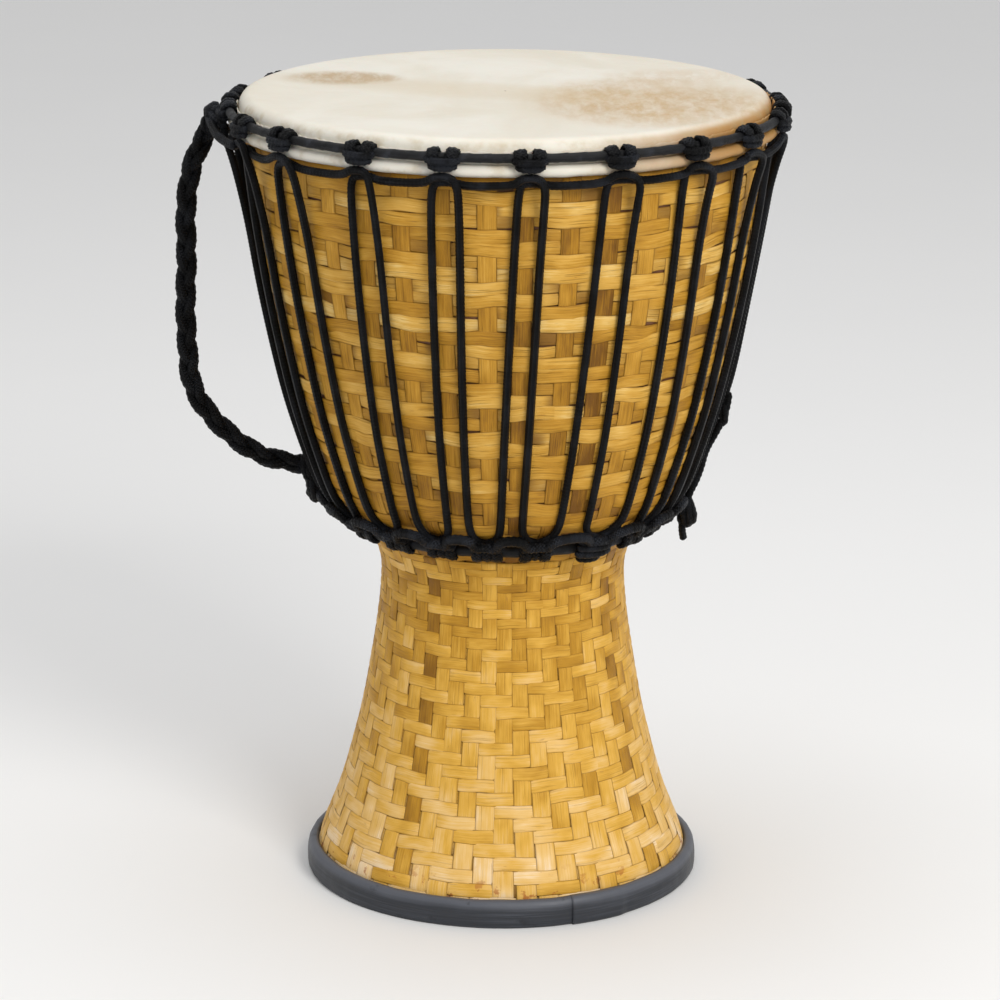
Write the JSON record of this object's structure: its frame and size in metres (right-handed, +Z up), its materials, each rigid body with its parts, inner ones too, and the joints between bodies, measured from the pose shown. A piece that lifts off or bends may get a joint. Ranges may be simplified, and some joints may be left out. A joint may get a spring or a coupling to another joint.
{
  "type": "djembe",
  "caption": "Goblet-shaped hand drum with a woven bamboo cover, a laced goatskin head and a plaited carrying strap.",
  "frame": {"origin": "on the drum's axis at the floor, at the bottom of the rubber foot", "axes": "+Z up along the drum's axis, -Y the front, the carrying strap on the -X side"},
  "size_m": [0.3876, 0.361, 0.508],
  "materials": {
    "shell_wood": "oiled, turned inside",
    "bamboo": "split bamboo weave under satin lacquer",
    "rubber": "satin, worn",
    "goatskin": "scraped natural hide",
    "ring_steel": "bare wire",
    "ring_cloth": "wound cotton tape",
    "cord": "braided polyester, matt",
    "strap_cord": "plaited braided cord"
  },
  "bodies": {
    "drum": {"shell": "shell_wood", "foot_cover": "bamboo", "bowl_cover": "bamboo", "foot_rubber": "rubber", "drum_skin": "goatskin", "flesh_ring": "ring_steel", "crown_ring": "ring_steel", "crown_ring_wrap": "ring_cloth", "lower_ring": "ring_steel", "lower_ring_wrap": "ring_cloth", "waist_knots": "cord", "waist_cord": "cord", "tuning_cord": "cord", "crown_tie": "cord", "waist_tie": "cord", "handle_top_lashing": "strap_cord", "handle_top_knob": "strap_cord", "handle_low_lashing": "strap_cord", "surplus_cord": "cord", "surplus_knot": "cord", "surplus_end": "cord", "crown_loop_01": "cord", "crown_loop_02": "cord", "crown_loop_03": "cord", "crown_loop_04": "cord", "crown_loop_05": "cord", "crown_loop_06": "cord", "crown_loop_07": "cord", "crown_loop_08": "cord", "crown_loop_09": "cord", "crown_loop_10": "cord", "crown_loop_11": "cord", "crown_loop_12": "cord", "crown_loop_13": "cord", "crown_loop_14": "cord", "crown_loop_15": "cord", "crown_loop_16": "cord", "crown_loop_17": "cord", "crown_loop_18": "cord", "crown_loop_19": "cord", "crown_loop_20": "cord"},
    "handle": {"handle_strap": "strap_cord"}
  },
  "joints": [
    {"name": "handle_swing", "type": "hinge", "parent": "drum", "child": "handle", "pos_m": [-0.1815, 0, 0.4875], "axis": [0.2178, 0, -0.976], "range_deg": [-35, 55]}
  ]
}
